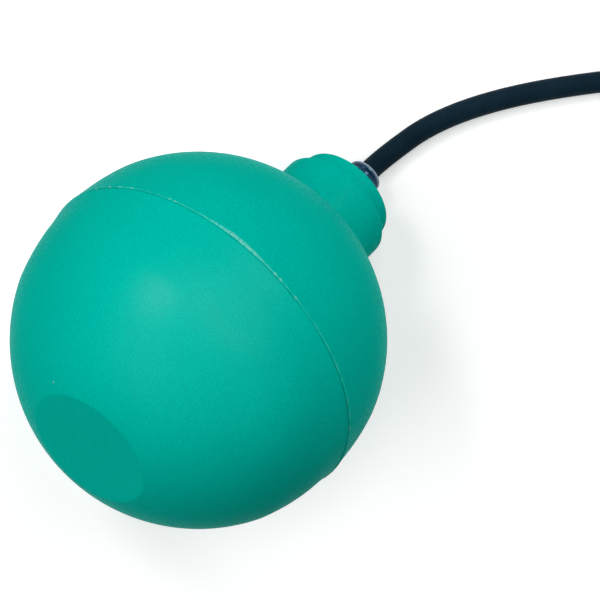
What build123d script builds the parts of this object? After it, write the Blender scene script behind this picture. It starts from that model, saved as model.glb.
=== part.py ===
from build123d import *
from math import asin, atan2, cos, degrees, hypot, pi, radians, sin, sqrt, tan
import os

os.makedirs("parts", exist_ok=True)

# Cable float switch: a hollow ball welded from two shells, with a neck, a cap and a cable.
# Millimetres. It lies as it comes to rest: the ball and the rim of the neck cap on the ground.
# The inner pieces are placed along the float's own axis, counted from the ball's centre,
# positive towards the neck. "Up" across that axis is the float's local y.

# Ball
ball_r = 49.0
wall = 3.0
pole_flat_r = 17.4
front_band_angle = 19.0  # degrees of latitude that stay straight beside the weld
rear_band_angle = 12.5
seam_drop = 0.12  # the weld lies this far inside the ball's radius
groove_depth = 0.35
groove_width = 0.7
bead_height = 0.4
bead_width = 1.8
bead_crest = 0.8  # from the weld's middle
lap_length = 4.0
lap_wall = 1.4

# Neck
collar_r = 16.1
collar_end = 59.45
collar_rim = 0.5
neck_fillet = 1.6
neck_bore_r = 11.6
cap_r = 13.75
cap_end = 64.8
cap_rim = 1.0
spigot_length = 9.5
spigot_clearance = 0.1
oring_wire_r = 0.82
oring_groove_width = 2.4
oring_setback = 1.1  # from the cap's seat to its groove
oring_clearance = 0.03
cap_face_wall = 5.8
pocket_r = 8.1

# Cable and its entry
cable_d = 5.8
cable_clearance = 0.05
bushing_r = 4.9
bushing_end = 73.45
bushing_lip = 0.7
bushing_flange = 1.9
washer_thickness = 1.1
gland_nut_length = 4.6
gland_nut_bore_r = 6.1
slot_width = 1.6
slot_depth = 1.4
grip_length = 4.0
grip_wall = 2.4
grip_rounding = 0.6
core_r = 0.95
core_gap = 0.15
jacket_tail = 5.5  # jacket beyond the washer, inside the neck
wire_straight = 1.5  # beyond the plug, before a wire turns to the jacket
wire_stagger = 2.0  # the outer wires turn later
wire_bend = 4.0
wire_bend_extra = 2.5
bend_share = 0.45  # of the shorter run at a corner, taken by its arc

# Fits
slip = 0.1
seat_gap = 0.1
boss_wall = 2.6
boss_clearance = 0.15
boss_root = 0.75  # how deep the boss is sunk into the pole flat

# Sealed capsule
capsule_r = 15.5
capsule_wall = 1.5
capsule_lid = 1.5
capsule_lid_spigot = 2.9
capsule_plug_length = 2.9
plug_gap = 1.0
front_boss_grip = 8.0
rear_boss_grip = 4.7
seat_bore_r = 12.5
stop_rib = 1.2
stop_rib_width = 1.2

# Steel ball and its race
steel_ball_r = 10.0
steel_ball_rest = 6.0
race_clearance = 0.2
race_start = -25.5
race_wall = 1.6
race_land = 4.0
race_lip_r = 7.0
race_lip = 1.2
rest_gap = 0.15

# Snap switch
lever_thickness = 0.4
lever_width = 4.0
lever_pivot = -8.0
lever_tip = 4.5
lever_swing = 8.0
barrel_r = 0.7
lever_pin_r = 0.35
plunger_at = -3.0
plunger_r = 1.0
plunger_length = 4.0
plunger_gap = 0.05
case_gap = 0.6
case_depth = 9.2
case_width = 20.0
case_thickness = 6.4
case_rounding = 0.5
cover_thickness = 1.4
lug_width = 2.5
lug_reach = 1.8
lug_root = 0.4
running = 0.05
pin_clearance = 0.02
stroke_margin = 0.02
plunger_rounding = 0.9
lever_rounding = 1.2
screw_r = 1.0
screw_head_r = 1.9
screw_head = 1.2
screw_spacing = 10.0
screw_setback = 2.4
cheek_thickness = 2.2
cheek_inset = 0.5
cheek_rounding = 0.8
terminal_width = 2.4
terminal_thickness = 0.5
terminal_length = 4.3
terminal_pitch = 7.5
terminal_hole_r = 0.6
terminal_hole_setback = 1.9

# Cable on the ground. The coil's own sizes follow from the cable and its turns.
turns_below = 5
turns_above = 4
coil_middle_r = 35.1
coil_x = 190.0
coil_y = -27.0
turn_gap = 0.05
tie_thickness = 0.8
tie_width = 4.5
tie_angles = (40.0, 140.0, 292.0)
tie_head_length = 6.2
tie_head_width = 6.4
tie_head_height = 4.0
tie_end_length = 5.5
layer_rise = 5.1  # the upper turns lie in the gaps of the lower ones
ferrule_sleeve_r = 1.35
ferrule_sleeve = 5.0
ferrule_pin_r = 0.7
ferrule_pin = 7.0
fan_start = 0.3  # shares of a lead's length
fan_middle = 0.65
fan_aside_middle = 4.2
fan_aside_end = 6.8

# How the float lies: its axis dips until the rounded rim of the cap touches the ground
rim_station = cap_end - cap_rim
rim_r = cap_r - cap_rim
tilt = asin((ball_r - cap_rim) / hypot(rim_station, rim_r)) - atan2(rim_r, rim_station)
cap_reach = cap_end * cos(tilt) + cap_r * sin(tilt)
bushing_reach = bushing_end * cos(tilt) + bushing_r * sin(tilt)
ball_x = (ball_r - max(cap_reach, bushing_reach)) / 2
ball_centre = Vector(ball_x, 0, ball_r)
axis_dir = Vector(cos(tilt), 0, -sin(tilt))
float_axis = Axis(ball_centre, axis_dir)
float_plane = Plane(origin=ball_centre, x_dir=axis_dir, z_dir=(0, -1, 0))


def along(x, y=0.0, z=0.0):
    """World place of a point given along, above and beside the float's axis."""
    return float_plane.from_local_coords((x, y, z))


def station(x):
    """Plane across the float's axis: its x points up, its y to the side."""
    return Plane(origin=along(x), x_dir=float_plane.y_dir, z_dir=axis_dir)


def ring(x_low, x_high, r_in, r_out):
    """Rectangle of a turned ring, drawn in the open sketch on the float's plane."""
    with Locations(((x_low + x_high) / 2, (r_in + r_out) / 2)):
        Rectangle(x_high - x_low, r_out - r_in)


def sphere_x(radius, r):
    """Distance along the axis at which a sphere has the given radius across."""
    return sqrt(radius**2 - r**2)


def bend_radii(points):
    """Corner radii whose arcs take the same share of the shorter run at each corner."""
    radii = []
    for before, corner, after in zip(points, points[1:], points[2:]):
        run_in = corner - before
        run_out = after - corner
        half_turn = radians(run_in.get_angle(run_out)) / 2
        radii.append(bend_share * min(run_in.length, run_out.length) / tan(half_turn))
    return radii


def bent_path(points):
    """Straight runs joined by tangent arcs. Prints the arcs' radii and the length."""
    radii = bend_radii(points)
    with BuildLine() as path:
        FilletPolyline(*points, radius=radii)
    path_wire = path.wires()[0]
    print("arc radii", [round(radius, 1) for radius in radii], "length", round(path_wire.length, 1))
    return path_wire


# Shells: shared radii
inner_r = ball_r - wall
seam_r = ball_r - seam_drop
lap_r = inner_r + lap_wall
flat_x = -sphere_x(ball_r, pole_flat_r)
inner_flat_x = flat_x + wall
front_band = (-ball_r * sin(radians(front_band_angle)), ball_r * cos(radians(front_band_angle)))
rear_band = (ball_r * sin(radians(rear_band_angle)), ball_r * cos(radians(rear_band_angle)))
boss_r = capsule_r + boss_clearance
boss_outer_r = boss_r + boss_wall

# Capsule stations, worked out from the race
lid_face = race_start - seat_gap
tube_start = lid_face - capsule_lid_spigot
capsule_start = tube_start - capsule_lid
lip_face = steel_ball_rest + sphere_x(steel_ball_r, race_lip_r) + rest_gap
race_end = lip_face + race_lip
ball_travel = steel_ball_rest - steel_ball_r - race_start - rest_gap
lever_front = steel_ball_rest + steel_ball_r + rest_gap
lever_back = lever_front + lever_thickness
case_front = lever_back + case_gap
case_back = case_front + case_depth
terminal_end = case_back + terminal_length
plug_start = terminal_end + plug_gap
capsule_end = plug_start + capsule_plug_length
front_seat = capsule_start - seat_gap
rear_seat = capsule_end + seat_gap
capsule_bore_r = capsule_r - capsule_wall

# Front shell: the pole flat, a tongue for the weld and a boss that holds the capsule
with BuildPart() as front_shell:
    with BuildSketch(float_plane):
        with BuildLine():
            Polyline((inner_flat_x, 0), (flat_x, 0), (flat_x, pole_flat_r))
            RadiusArc((flat_x, pole_flat_r), front_band, ball_r)
            groove_y = seam_r - groove_width * tan(radians(front_band_angle / 2))
            Polyline(
                front_band,
                (-groove_width, groove_y),
                (0, seam_r - groove_depth),
                (0, lap_r),
                (lap_length, lap_r),
                (lap_length, inner_r),
                (0, inner_r),
            )
            inner_flat_r = sphere_x(inner_r, inner_flat_x)
            RadiusArc((0, inner_r), (inner_flat_x, inner_flat_r), -inner_r)
            Line((inner_flat_x, inner_flat_r), (inner_flat_x, 0))
        make_face()
    revolve(axis=float_axis)
    with BuildSketch(float_plane):
        ring(inner_flat_x - boss_root, front_seat, seat_bore_r, boss_outer_r)
        ring(front_seat, front_seat + front_boss_grip, boss_r, boss_outer_r)
    revolve(axis=float_axis)
front_shell.part.label = "front_shell"
export_step(front_shell.part, "parts/front_shell.step")

# Rear shell: recess for the tongue, weld bead, collar with its bore, and the capsule's seat
with BuildPart() as rear_shell:
    with BuildSketch(float_plane):
        collar_foot_x = sphere_x(ball_r, collar_r)
        recess_end = lap_length + slip
        boss_root_x = sphere_x(inner_r, boss_outer_r)
        band_slope = (rear_band[1] - seam_r) / rear_band[0]
        bead_foot = (bead_width, seam_r + bead_width * band_slope)
        bead_top = (bead_crest, seam_r + bead_height)
        with BuildLine():
            ThreePointArc((0, seam_r), bead_top, bead_foot)
            Line(bead_foot, rear_band)
            RadiusArc(rear_band, (collar_foot_x, collar_r), ball_r)
            Polyline(
                (collar_foot_x, collar_r),
                (collar_end, collar_r),
                (collar_end, neck_bore_r),
                (rear_seat, neck_bore_r),
                (rear_seat, boss_r),
                (rear_seat - rear_boss_grip, boss_r),
                (rear_seat - rear_boss_grip, boss_outer_r),
                (boss_root_x, boss_outer_r),
            )
            inner_start = (recess_end, sphere_x(inner_r, recess_end))
            RadiusArc((boss_root_x, boss_outer_r), inner_start, -inner_r)
            Polyline(inner_start, (recess_end, lap_r + slip), (0, lap_r + slip), (0, seam_r))
        make_face()
    revolve(axis=float_axis)
    rims = rear_shell.edges().filter_by(GeomType.CIRCLE)
    rim = rims.sort_by(lambda e: (e.arc_center - along(collar_end)).length + abs(e.radius - collar_r))[0]
    foot = rims.sort_by(
        lambda e: (e.arc_center - along(collar_foot_x)).length + abs(e.radius - collar_r)
    )[0]
    fillet(rim, collar_rim)
    fillet(foot, neck_fillet)
rear_shell.part.label = "rear_shell"
export_step(rear_shell.part, "parts/rear_shell.step")

# Neck cap: a rounded cap on the collar, with a spigot that carries the seal
spigot_r = neck_bore_r - spigot_clearance
spigot_end = collar_end - spigot_length
pocket_face = cap_end - cap_face_wall
groove_high = collar_end - oring_setback
groove_low = groove_high - oring_groove_width
oring_r = neck_bore_r - oring_clearance - oring_wire_r
groove_floor_r = oring_r - oring_wire_r - oring_clearance
entry_r = bushing_r + cable_clearance
with BuildPart() as neck_cap:
    with BuildSketch(float_plane):
        with BuildLine():
            Polyline(
                (pocket_face, entry_r),
                (cap_end, entry_r),
                (cap_end, cap_r),
                (collar_end, cap_r),
                (collar_end, spigot_r),
                (groove_high, spigot_r),
                (groove_high, groove_floor_r),
                (groove_low, groove_floor_r),
                (groove_low, spigot_r),
                (spigot_end, spigot_r),
                (spigot_end, pocket_r),
                (pocket_face, pocket_r),
                (pocket_face, entry_r),
            )
        make_face()
    revolve(axis=float_axis)
    cap_edges = neck_cap.edges().filter_by(GeomType.CIRCLE)
    outer = cap_edges.sort_by(lambda e: (e.arc_center - along(cap_end)).length + abs(e.radius - cap_r))[0]
    fillet(outer, cap_rim)
neck_cap.part.label = "neck_cap"
export_step(neck_cap.part, "parts/neck_cap.step")

# Seal ring in the spigot's groove
with BuildPart() as neck_seal:
    with BuildSketch(float_plane):
        with Locations(((groove_low + groove_high) / 2, oring_r)):
            Circle(oring_wire_r)
    revolve(axis=float_axis)
neck_seal.part.label = "neck_seal"
export_step(neck_seal.part, "parts/neck_seal.step")

# Cable bushing: a soft sleeve that stands out of the cap, with a flange behind it
cable_r = cable_d / 2
cable_bore_r = cable_r + cable_clearance
flange_low = pocket_face - seat_gap / 2 - bushing_flange
flange_r = pocket_r - slip
with BuildPart() as cable_bushing:
    with BuildSketch(float_plane):
        ring(flange_low, flange_low + bushing_flange, cable_bore_r, flange_r)
        ring(flange_low, bushing_end, cable_bore_r, bushing_r)
    revolve(axis=float_axis)
    lips = cable_bushing.edges().filter_by(GeomType.CIRCLE)
    lip = lips.sort_by(lambda e: (e.arc_center - along(bushing_end)).length + abs(e.radius - bushing_r))[0]
    fillet(lip, bushing_lip)
cable_bushing.part.label = "cable_bushing"
export_step(cable_bushing.part, "parts/cable_bushing.step")

# Washer and nut that press the bushing's flange against the cap
washer_low = flange_low - washer_thickness
with BuildPart() as clamp_washer:
    with BuildSketch(float_plane):
        ring(washer_low, flange_low, cable_bore_r + slip, flange_r)
    revolve(axis=float_axis)
clamp_washer.part.label = "clamp_washer"
export_step(clamp_washer.part, "parts/clamp_washer.step")

with BuildPart() as gland_nut:
    with BuildSketch(float_plane):
        ring(washer_low - gland_nut_length, washer_low, gland_nut_bore_r, flange_r)
    revolve(axis=float_axis)
    slot = station(washer_low - gland_nut_length)
    with BuildSketch(slot):
        Rectangle(2 * pocket_r, slot_width)
    extrude(amount=slot_depth, mode=Mode.SUBTRACT)
gland_nut.part.label = "gland_nut"
export_step(gland_nut.part, "parts/gland_nut.step")

# Crimped ring on the jacket: it stops a pull on the cable
with BuildPart() as cord_grip:
    with BuildSketch(float_plane):
        ring(washer_low - grip_length, washer_low, cable_bore_r, cable_bore_r + grip_wall)
    revolve(axis=float_axis)
    grip_edges = cord_grip.edges().filter_by(GeomType.CIRCLE)
    fillet(grip_edges.sort_by(lambda e: abs(e.radius - cable_bore_r - grip_wall))[0:2], grip_rounding)
cord_grip.part.label = "cord_grip"
export_step(cord_grip.part, "parts/cord_grip.step")

# Jacket of the cable inside the neck, up to the bushing's outer face
jacket_start = washer_low - jacket_tail
with BuildPart() as cable_entry:
    with BuildSketch(station(jacket_start)):
        Circle(cable_r)
    extrude(amount=bushing_end - jacket_start)
cable_entry.part.label = "cable_entry"
export_step(cable_entry.part, "parts/cable_entry.step")

# Capsule: a tube with a lid at the pole side and a plug at the neck side
with BuildPart() as capsule_tube:
    with BuildSketch(float_plane):
        ring(tube_start, capsule_end, capsule_bore_r, capsule_r)
        rib_start = race_end + seat_gap
        ring(rib_start, rib_start + stop_rib_width, capsule_bore_r - stop_rib, capsule_r)
    revolve(axis=float_axis)
capsule_tube.part.label = "capsule_tube"
export_step(capsule_tube.part, "parts/capsule_tube.step")

with BuildPart() as capsule_lid_disc:
    with BuildSketch(float_plane):
        ring(capsule_start, tube_start, 0, capsule_r)
        ring(tube_start, lid_face, 0, capsule_bore_r - slip)
    revolve(axis=float_axis)
capsule_lid_disc.part.label = "capsule_lid"
export_step(capsule_lid_disc.part, "parts/capsule_lid.step")

with BuildPart() as capsule_plug:
    with BuildSketch(station(plug_start)):
        Circle(capsule_bore_r - slip)
        with GridLocations(terminal_pitch, 0, 3, 1):
            Circle(core_r + running, mode=Mode.SUBTRACT)
    extrude(amount=capsule_plug_length)
capsule_plug.part.label = "capsule_plug"
export_step(capsule_plug.part, "parts/capsule_plug.step")

# Race: the guide of the steel ball, with a lip at its end and a cheek for the switch
race_bore_r = steel_ball_r + race_clearance
race_land_r = capsule_bore_r - slip
cheek_face = case_thickness / 2
with BuildPart() as ball_race:
    with BuildSketch(float_plane):
        ring(race_start, lip_face, race_bore_r, race_bore_r + race_wall)
        ring(race_start, race_start + race_land, race_bore_r, race_land_r)
        ring(race_end - race_land, race_end, race_bore_r, race_land_r)
        ring(lip_face, race_end, race_lip_r, race_land_r)
    revolve(axis=float_axis)
    with BuildSketch(float_plane.offset(cheek_face)):
        with Locations(((race_end + case_back) / 2, 0)):
            cheek_length = case_back - race_end + 2 * cheek_inset
            RectangleRounded(cheek_length, case_width - 2 * cheek_inset, cheek_rounding)
        with Locations((case_back - screw_setback, 0)):
            with GridLocations(0, screw_spacing, 1, 2):
                Circle(screw_r + running / 2, mode=Mode.SUBTRACT)
    extrude(amount=cheek_thickness)
    with BuildSketch(station(lip_face)):
        Circle(race_lip_r)
    extrude(amount=lever_front - lip_face + rest_gap, mode=Mode.SUBTRACT)
ball_race.part.label = "ball_race"
export_step(ball_race.part, "parts/ball_race.step")

with BuildPart() as steel_ball:
    with BuildSketch(float_plane):
        with BuildLine():
            ThreePointArc(
                (steel_ball_rest - steel_ball_r, 0),
                (steel_ball_rest, steel_ball_r),
                (steel_ball_rest + steel_ball_r, 0),
            )
            Line((steel_ball_rest + steel_ball_r, 0), (steel_ball_rest - steel_ball_r, 0))
        make_face()
    revolve(axis=float_axis)
steel_ball.part.label = "steel_ball"
export_step(steel_ball.part, "parts/steel_ball.step")

# Snap switch: case, cover, plunger, lever with its pin, and three terminals
hinge = (lever_front + lever_thickness / 2, lever_pivot)
split_z = case_thickness / 2 - cover_thickness
case_centre = ((case_front + case_back) / 2, 0)
lug_inner = lever_width / 2 + slip


def switch_outline():
    """Side view of the case, in the open sketch, with its screw holes."""
    with Locations(case_centre):
        RectangleRounded(case_depth, case_width, case_rounding)
    with Locations((case_back - screw_setback, 0)):
        with GridLocations(0, screw_spacing, 1, 2):
            Circle(screw_r + slip, mode=Mode.SUBTRACT)


def lug_outline():
    """Side view of a hinge lug in front of the case, with the hole for the pin."""
    with Locations((case_front + (lug_root - lug_reach) / 2, lever_pivot)):
        RectangleRounded(lug_reach + lug_root, lug_width, case_rounding)
    with Locations(hinge):
        Circle(lever_pin_r + pin_clearance, mode=Mode.SUBTRACT)


with BuildPart() as switch_case:
    with BuildSketch(float_plane.offset(-case_thickness / 2)):
        switch_outline()
    extrude(amount=case_thickness - cover_thickness)
    with BuildSketch(float_plane.offset(-case_thickness / 2)):
        lug_outline()
    extrude(amount=case_thickness / 2 - lug_inner)
    with BuildSketch(station(case_front)):
        with Locations((plunger_at, 0)):
            Circle(plunger_r + running)
    extrude(amount=plunger_length, mode=Mode.SUBTRACT)
switch_case.part.label = "switch_case"
export_step(switch_case.part, "parts/switch_case.step")

with BuildPart() as switch_cover:
    with BuildSketch(float_plane.offset(split_z)):
        switch_outline()
    extrude(amount=cover_thickness)
    with BuildSketch(float_plane.offset(lug_inner)):
        lug_outline()
    extrude(amount=case_thickness / 2 - lug_inner)
switch_cover.part.label = "switch_cover"
export_step(switch_cover.part, "parts/switch_cover.step")

plunger_stroke = (plunger_at - lever_pivot) * tan(radians(lever_swing)) - stroke_margin
plunger_tip = lever_back + plunger_gap
with BuildPart() as switch_plunger:
    with BuildSketch(station(plunger_tip)):
        with Locations((plunger_at, 0)):
            Circle(plunger_r)
    extrude(amount=plunger_length)
    tip_edge = switch_plunger.edges().filter_by(GeomType.CIRCLE).sort_by(float_axis)[0]
    fillet(tip_edge, plunger_rounding)
switch_plunger.part.label = "switch_plunger"
export_step(switch_plunger.part, "parts/switch_plunger.step")

with BuildPart() as switch_lever:
    with BuildSketch(float_plane):
        with Locations(hinge):
            Circle(barrel_r)
        with Locations((hinge[0], (lever_pivot + lever_tip) / 2)):
            Rectangle(lever_thickness, lever_tip - lever_pivot)
        with Locations(hinge):
            Circle(lever_pin_r + running, mode=Mode.SUBTRACT)
    extrude(amount=lever_width / 2, both=True)
    tip_corners = switch_lever.edges().filter_by(Axis(ball_centre, axis_dir)).sort_by(
        Axis(ball_centre, float_plane.y_dir)
    )[-2:]
    fillet(tip_corners, lever_rounding)
switch_lever.part.label = "switch_lever"
export_step(switch_lever.part, "parts/switch_lever.step")

with BuildPart() as lever_pin:
    with BuildSketch(float_plane.offset(-case_thickness / 2)):
        with Locations(hinge):
            Circle(lever_pin_r)
    extrude(amount=case_thickness)
lever_pin.part.label = "lever_pin"
export_step(lever_pin.part, "parts/lever_pin.step")

terminal_places = {
    "terminal_common": -terminal_pitch,
    "terminal_open": 0.0,
    "terminal_closed": terminal_pitch,
}
for terminal_name, terminal_y in terminal_places.items():
    with BuildPart() as terminal:
        with BuildSketch(float_plane.offset(-terminal_thickness / 2)):
            with Locations(((case_back + terminal_end) / 2, terminal_y)):
                Rectangle(terminal_length, terminal_width)
            with Locations((terminal_end - terminal_hole_setback, terminal_y)):
                Circle(terminal_hole_r, mode=Mode.SUBTRACT)
        extrude(amount=terminal_thickness)
    terminal.part.label = terminal_name
    export_step(terminal.part, f"parts/{terminal_name}.step")

# Two screws hold the switch on the race's cheek
with BuildPart() as switch_screws:
    with BuildSketch(float_plane.offset(-case_thickness / 2)):
        with Locations((case_back - screw_setback, 0)):
            with GridLocations(0, screw_spacing, 1, 2):
                Circle(screw_r)
    extrude(amount=case_thickness + cheek_thickness)
    with BuildSketch(float_plane.offset(-case_thickness / 2)):
        with Locations((case_back - screw_setback, 0)):
            with GridLocations(0, screw_spacing, 1, 2):
                Circle(screw_head_r)
    extrude(amount=-screw_head)
switch_screws.part.label = "switch_screws"
export_step(switch_screws.part, "parts/switch_screws.step")

# Cores from the terminals to the cable, each settling at its own place in the jacket
core_orbit = core_r / cos(radians(30)) + core_gap
core_ends = {
    "wire_brown": (terminal_pitch, 90.0),
    "wire_blue": (-terminal_pitch, 330.0),
    "wire_black": (0.0, 210.0),
}
for wire_name, (start_y, clock) in core_ends.items():
    end_y = core_orbit * sin(radians(clock))
    end_z = core_orbit * cos(radians(clock))
    spread = abs(start_y) / terminal_pitch
    bend_start = capsule_end + wire_straight + wire_stagger * spread
    bend_end = bend_start + wire_bend + wire_bend_extra * spread
    wire_points = [
        along(terminal_end, start_y),
        along(bend_start, start_y),
        along(bend_end, end_y, -end_z),
        along(jacket_start, end_y, -end_z),
    ]
    wire_path = bent_path(wire_points)
    with BuildPart() as wire:
        with BuildSketch(Plane(wire_path ^ 0)):
            Circle(core_r)
        sweep(path=wire_path)
    wire.part.label = wire_name
    export_step(wire.part, f"parts/{wire_name}.step")

# Free cable: out of the bushing, down to the ground and along it to the coil
cable_route = [
    along(bushing_end),
    along(bushing_end + (ball_r - bushing_end * sin(tilt) - cable_r) / sin(tilt)),
    Vector(62.5, -0.6, cable_r),
    Vector(73.5, -2.3, cable_r),
    Vector(86.5, -7.6, cable_r),
    Vector(101.5, -16.6, cable_r),
    Vector(119.5, -30.1, cable_r),
    Vector(138.5, -46.5, cable_r),
    Vector(152.5, -58.8, cable_r + 0.6),
    Vector(163.0, -66.2, cable_r + tie_thickness),
]
cable_path = bent_path(cable_route)
with BuildPart() as cable_run:
    with BuildSketch(Plane(cable_path ^ 0)):
        Circle(cable_r)
    sweep(path=cable_path)
print("cable_run volume", round(cable_run.part.volume), round(cable_path.length * pi * cable_r**2))
cable_run.part.label = "cable_run"
export_step(cable_run.part, "parts/cable_run.step")

# Coil: five turns on the ground with four on top of them, held by three ties with their heads on top
turn_pitch = cable_d + turn_gap
lower_out = coil_middle_r + turn_pitch * (turns_below - 1) / 2 + cable_r
lower_in = coil_middle_r - turn_pitch * (turns_below - 1) / 2 - cable_r
upper_out = coil_middle_r + turn_pitch * (turns_above - 1) / 2 + cable_r
upper_in = coil_middle_r - turn_pitch * (turns_above - 1) / 2 - cable_r
coil_top = tie_thickness + 2 * cable_d
coil_axis = Axis((coil_x, coil_y, 0), (0, 0, 1))
bundle_outline = [
    (lower_in, tie_thickness),
    (lower_out, tie_thickness),
    (lower_out, tie_thickness + cable_r),
    (upper_out, coil_top),
    (upper_in, coil_top),
    (lower_in, tie_thickness + cable_r),
]


def coil_plane(angle):
    """Upright plane through the coil's axis: x points out, y up."""
    out = Vector(cos(radians(angle)), sin(radians(angle)), 0)
    return Plane(origin=(coil_x, coil_y, 0), x_dir=out, z_dir=out.cross(Vector(0, 0, 1)))


with BuildPart() as cable_coil:
    with BuildSketch(coil_plane(0)):
        Polygon(*bundle_outline, align=None)
        offset(amount=tie_thickness, kind=Kind.INTERSECTION)
    revolve(axis=coil_axis)
    for tie_angle in tie_angles:
        with BuildSketch(coil_plane(tie_angle)):
            with Locations((coil_middle_r, coil_top / 2)):
                Rectangle(2 * (lower_out - lower_in), 3 * coil_top)
            Polygon(*bundle_outline, align=None, mode=Mode.SUBTRACT)
        extrude(amount=max(tie_width, tie_head_width) / 2 + slip, both=True, mode=Mode.SUBTRACT)
cable_coil.part.label = "cable_coil"
export_step(cable_coil.part, "parts/cable_coil.step")

with BuildPart() as coil_ties:
    for tie_angle in tie_angles:
        with BuildSketch(coil_plane(tie_angle)):
            Polygon(*bundle_outline, align=None)
            offset(amount=tie_thickness, kind=Kind.INTERSECTION)
            Polygon(*bundle_outline, align=None, mode=Mode.SUBTRACT)
        extrude(amount=tie_width / 2, both=True)
        with BuildSketch(coil_plane(tie_angle)):
            with Locations((coil_middle_r, coil_top + (tie_thickness + tie_head_height) / 2)):
                Rectangle(tie_head_length, tie_head_height)
        extrude(amount=tie_head_width / 2, both=True)
        with BuildSketch(coil_plane(tie_angle)):
            tie_end_r = coil_middle_r + (tie_head_length + tie_end_length) / 2 - tie_thickness
            with Locations((tie_end_r, coil_top + tie_head_height / 2)):
                Rectangle(tie_end_length, tie_thickness)
        extrude(amount=tie_width / 2, both=True)
coil_ties.part.label = "coil_ties"
export_step(coil_ties.part, "parts/coil_ties.step")

# Tail: the cable comes off the top of the coil and down to the ground beside it
tail_z = tie_thickness + cable_r + layer_rise
tail_route = [
    Vector(215.2, -63.0, tail_z),
    Vector(226.7, -55.0, tail_z),
    Vector(237.6, -46.6, tail_z - 0.9),
    Vector(244.4, -35.2, cable_r + 1.6),
    Vector(247.0, -21.8, cable_r),
    Vector(245.4, -8.2, cable_r),
    Vector(241.6, 5.0, cable_r),
]
tail_path = bent_path(tail_route)
with BuildPart() as cable_tail:
    with BuildSketch(Plane(tail_path ^ 0)):
        Circle(cable_r)
    sweep(path=tail_path)
print("cable_tail volume", round(cable_tail.part.volume), round(tail_path.length * pi * cable_r**2))
cable_tail.part.label = "cable_tail"
export_step(cable_tail.part, "parts/cable_tail.step")

# Bare leads: three cores that fan out of the jacket, each with a crimped ferrule
tail_end = tail_route[-1]
tail_dir = (tail_route[-1] - tail_route[-2]).normalized()
tail_side = Vector(-tail_dir.Y, tail_dir.X, 0)
lead_fan = {
    "lead_brown": (0.0, 90.0, 20.0),
    "lead_blue": (-1.0, 210.0, 17.0),
    "lead_black": (1.0, 330.0, 18.5),
}
ground = tail_end + Vector(0, 0, ferrule_sleeve_r - cable_r)
ferrule_planes = []
for lead_name, (fan, clock, length) in lead_fan.items():
    side = core_orbit * cos(radians(clock))
    lift = core_orbit * sin(radians(clock))
    start = tail_end + tail_side * -side + Vector(0, 0, lift)
    lead_points = [
        start,
        start + tail_dir * fan_start * length,
        ground + tail_dir * fan_middle * length - tail_side * fan * fan_aside_middle,
        ground + tail_dir * length - tail_side * fan * fan_aside_end,
    ]
    lead_path = bent_path(lead_points)
    with BuildPart() as lead:
        with BuildSketch(Plane(lead_path ^ 0)):
            Circle(core_r)
        sweep(path=lead_path)
    lead.part.label = lead_name
    export_step(lead.part, f"parts/{lead_name}.step")
    level = (lead_points[-1] - lead_points[-2]).normalized()
    ferrule_planes.append(Plane(origin=lead_points[-1], z_dir=level))

with BuildPart() as core_ferrules:
    for ferrule_plane in ferrule_planes:
        with BuildSketch(ferrule_plane):
            Circle(ferrule_sleeve_r)
        extrude(amount=ferrule_sleeve)
        with BuildSketch(ferrule_plane.offset(ferrule_sleeve)):
            Circle(ferrule_pin_r)
        extrude(amount=ferrule_pin)
core_ferrules.part.label = "core_ferrules"
export_step(core_ferrules.part, "parts/core_ferrules.step")

print("tilt", round(degrees(tilt), 3), "ball centre", ball_centre)
print("steel ball travel", round(ball_travel, 3), "plunger stroke", round(plunger_stroke, 4))
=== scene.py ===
import math

import bmesh
import bpy
from mathutils import Matrix, Vector, noise


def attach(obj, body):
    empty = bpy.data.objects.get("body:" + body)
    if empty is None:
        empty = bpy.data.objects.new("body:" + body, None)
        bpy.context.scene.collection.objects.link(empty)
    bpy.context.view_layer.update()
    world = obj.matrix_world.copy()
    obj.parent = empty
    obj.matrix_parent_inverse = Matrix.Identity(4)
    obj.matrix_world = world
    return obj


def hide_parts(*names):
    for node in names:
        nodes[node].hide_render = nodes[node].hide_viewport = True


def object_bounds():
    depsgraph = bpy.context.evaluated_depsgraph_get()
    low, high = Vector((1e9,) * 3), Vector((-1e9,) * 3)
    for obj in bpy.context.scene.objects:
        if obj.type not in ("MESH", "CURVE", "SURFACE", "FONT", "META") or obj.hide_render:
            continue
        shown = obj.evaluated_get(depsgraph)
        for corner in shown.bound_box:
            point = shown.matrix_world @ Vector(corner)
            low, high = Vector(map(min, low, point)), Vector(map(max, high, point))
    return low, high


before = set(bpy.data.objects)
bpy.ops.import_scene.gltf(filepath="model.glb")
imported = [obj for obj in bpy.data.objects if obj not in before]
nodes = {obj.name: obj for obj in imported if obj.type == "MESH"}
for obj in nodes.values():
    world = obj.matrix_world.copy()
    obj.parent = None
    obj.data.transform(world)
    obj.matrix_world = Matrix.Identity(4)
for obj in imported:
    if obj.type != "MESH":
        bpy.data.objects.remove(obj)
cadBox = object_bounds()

print("frame loaded with", len(nodes), "nodes")

# sizes the float shares with its solids, in metres and degrees
floatSizes = {
    "ballRadius": 0.0490,
    "wall": 0.0030,
    "skin": 0.0012,  # only what lies within this of the ball's outside moves at the weld
    "discRadius": 0.0174,
    "discEdge": 0.00035,
    "frontBand": 15.8,  # degrees of the straight bands beside the weld
    "rearBand": 12.5,
    "frontBlend": 8.0,  # degrees over which a band becomes the ball
    "rearBlend": 6.4,
    "seamDrop": 0.00012,
    "lapLength": 0.0040,
    "lapWall": 0.0014,
    "slip": 0.0001,
    "collarRadius": 0.0161,
    "collarEnd": 0.05945,
    "neckBore": 0.0116,
    "capRadius": 0.01375,
    "capEnd": 0.0648,
    "capRim": 0.0010,
    "bushingRadius": 0.0049,
    "bushingEnd": 0.07345,
    "cableRadius": 0.0029,
}


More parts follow.
